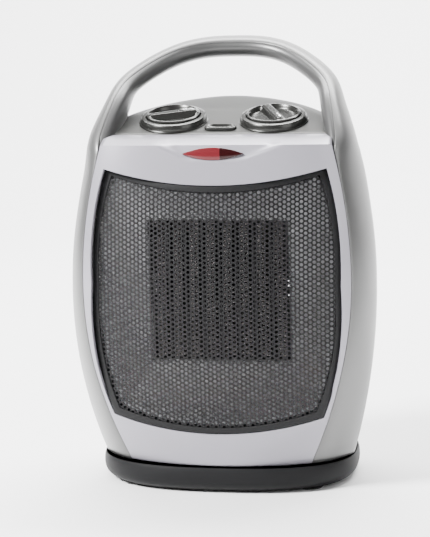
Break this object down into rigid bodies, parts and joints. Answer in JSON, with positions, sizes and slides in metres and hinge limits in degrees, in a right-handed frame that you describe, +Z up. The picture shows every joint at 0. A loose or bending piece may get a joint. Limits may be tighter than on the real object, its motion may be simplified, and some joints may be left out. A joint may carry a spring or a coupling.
{
  "type": "ceramic space heater",
  "caption": "Oscillating ceramic space heater with a carrying-handle arch, a curved perforated grille over a heating element, two control knobs and a black turning base.",
  "frame": {"origin": "on the floor, at the centre of the footprint, on the axis that the body turns about", "axes": "+Z up, the front with the grille faces -Y, +X to the viewer's right"},
  "size_m": [0.1838, 0.154, 0.2719],
  "materials": {
    "silver_shell": "satin metallic paint on moulded plastic",
    "handle_metal": "satin metallic paint",
    "pearl_bezel": "pearl metallic paint",
    "gunmetal": "satin gunmetal",
    "dark_chrome": "dark chrome",
    "base_black": "satin black",
    "rubber": "matt",
    "black_moulding": "matt black",
    "grille_black": "black powder coat",
    "funnel_metal": "bright reflector sheet",
    "aluminium_fins": "raw",
    "ceramic": "matt pale switch body",
    "steel": "zinc plated",
    "copper_winding": "enamelled winding",
    "red_lens": "smooth red",
    "lamp_glow": "neon lamp"
  },
  "bodies": {
    "base": {"base_cover": "base_black", "base_plate": "base_black", "foot_1": "rubber", "foot_2": "rubber", "foot_3": "rubber", "foot_4": "rubber", "tilt_switch": "black_moulding", "bearing_ring": "steel", "retaining_ring": "steel", "cord_gland": "base_black"},
    "tilt_plunger": {"tilt_plunger": "black_moulding"},
    "body": {"side_shell_left": "silver_shell", "side_shell_right": "silver_shell", "rear_cover": "silver_shell", "front_bezel": "pearl_bezel", "handle": "silver_shell", "handle_liner": "handle_metal", "body_floor": "black_moulding", "swing_motor": "steel", "grille_frame": "black_moulding", "grille": "grille_black", "element_frame": "black_moulding", "heater_bar_1": "aluminium_fins", "heater_bar_2": "aluminium_fins", "heater_bar_3": "aluminium_fins", "heater_bar_4": "aluminium_fins", "heater_bar_5": "aluminium_fins", "heater_bar_6": "aluminium_fins", "heater_bar_7": "aluminium_fins", "fin_pack_1": "aluminium_fins", "fin_pack_2": "aluminium_fins", "fin_pack_3": "aluminium_fins", "fin_pack_4": "aluminium_fins", "fin_pack_5": "aluminium_fins", "fin_pack_6": "aluminium_fins", "fin_pack_7": "aluminium_fins", "fin_pack_8": "aluminium_fins", "thermal_cutout": "black_moulding", "heat_funnel": "funnel_metal", "fan_duct": "black_moulding", "fan_motor": "steel", "motor_coil": "copper_winding", "control_panel": "gunmetal", "oscillation_switch": "black_moulding", "thermostat_collar": "gunmetal", "mode_collar": "gunmetal", "thermostat": "ceramic", "mode_switch": "black_moulding", "indicator_lens": "red_lens", "indicator_lamp": "lamp_glow", "rear_screw_1": "steel", "rear_screw_2": "steel"},
    "fan": {"impeller": "black_moulding", "fan_shaft": "steel"},
    "thermostat_knob": {"thermostat_knob": "gunmetal"},
    "mode_knob": {"mode_knob": "gunmetal"},
    "oscillation_button": {"oscillation_button": "dark_chrome"},
    "crank": {"swing_crank": "black_moulding"},
    "link": {"swing_link": "steel"}
  },
  "joints": [
    {"name": "oscillation", "type": "hinge", "parent": "base", "child": "body", "pos_m": [0, 0, 0.019], "axis": [0, 0, 1], "range_deg": [-30, 30]},
    {"name": "tilt_plunger_slide", "type": "slide", "parent": "base", "child": "tilt_plunger", "axis": [0, 0, -1], "range_m": [0, 0.003]},
    {"name": "fan_spin", "type": "hinge", "parent": "body", "child": "fan", "pos_m": [0, 0.008, 0.119], "axis": [0, -1, 0], "continuous": true},
    {"name": "thermostat_turn", "type": "hinge", "parent": "body", "child": "thermostat_knob", "pos_m": [-0.0303, -0.02823, 0.21883], "axis": [0, -0.3256, 0.9455], "range_deg": [-270, 0]},
    {"name": "mode_turn", "type": "hinge", "parent": "body", "child": "mode_knob", "pos_m": [0.0303, -0.02823, 0.21883], "axis": [0, -0.3256, 0.9455], "range_deg": [-180, 30]},
    {"name": "oscillation_button_press", "type": "slide", "parent": "body", "child": "oscillation_button", "axis": [0, 0.3256, -0.9455], "range_m": [0, 0.002], "stiffness_N_per_m": 400, "springref_m": -0.001},
    {"name": "crank_spin", "type": "hinge", "parent": "body", "child": "crank", "pos_m": [0.024, 0.036, 0.028], "axis": [0, 0, 1], "continuous": true},
    {"name": "link_swing", "type": "hinge", "parent": "base", "child": "link", "pos_m": [0.024, 0, 0.025], "axis": [0, 0, 1], "range_deg": [-20, 20]}
  ]
}
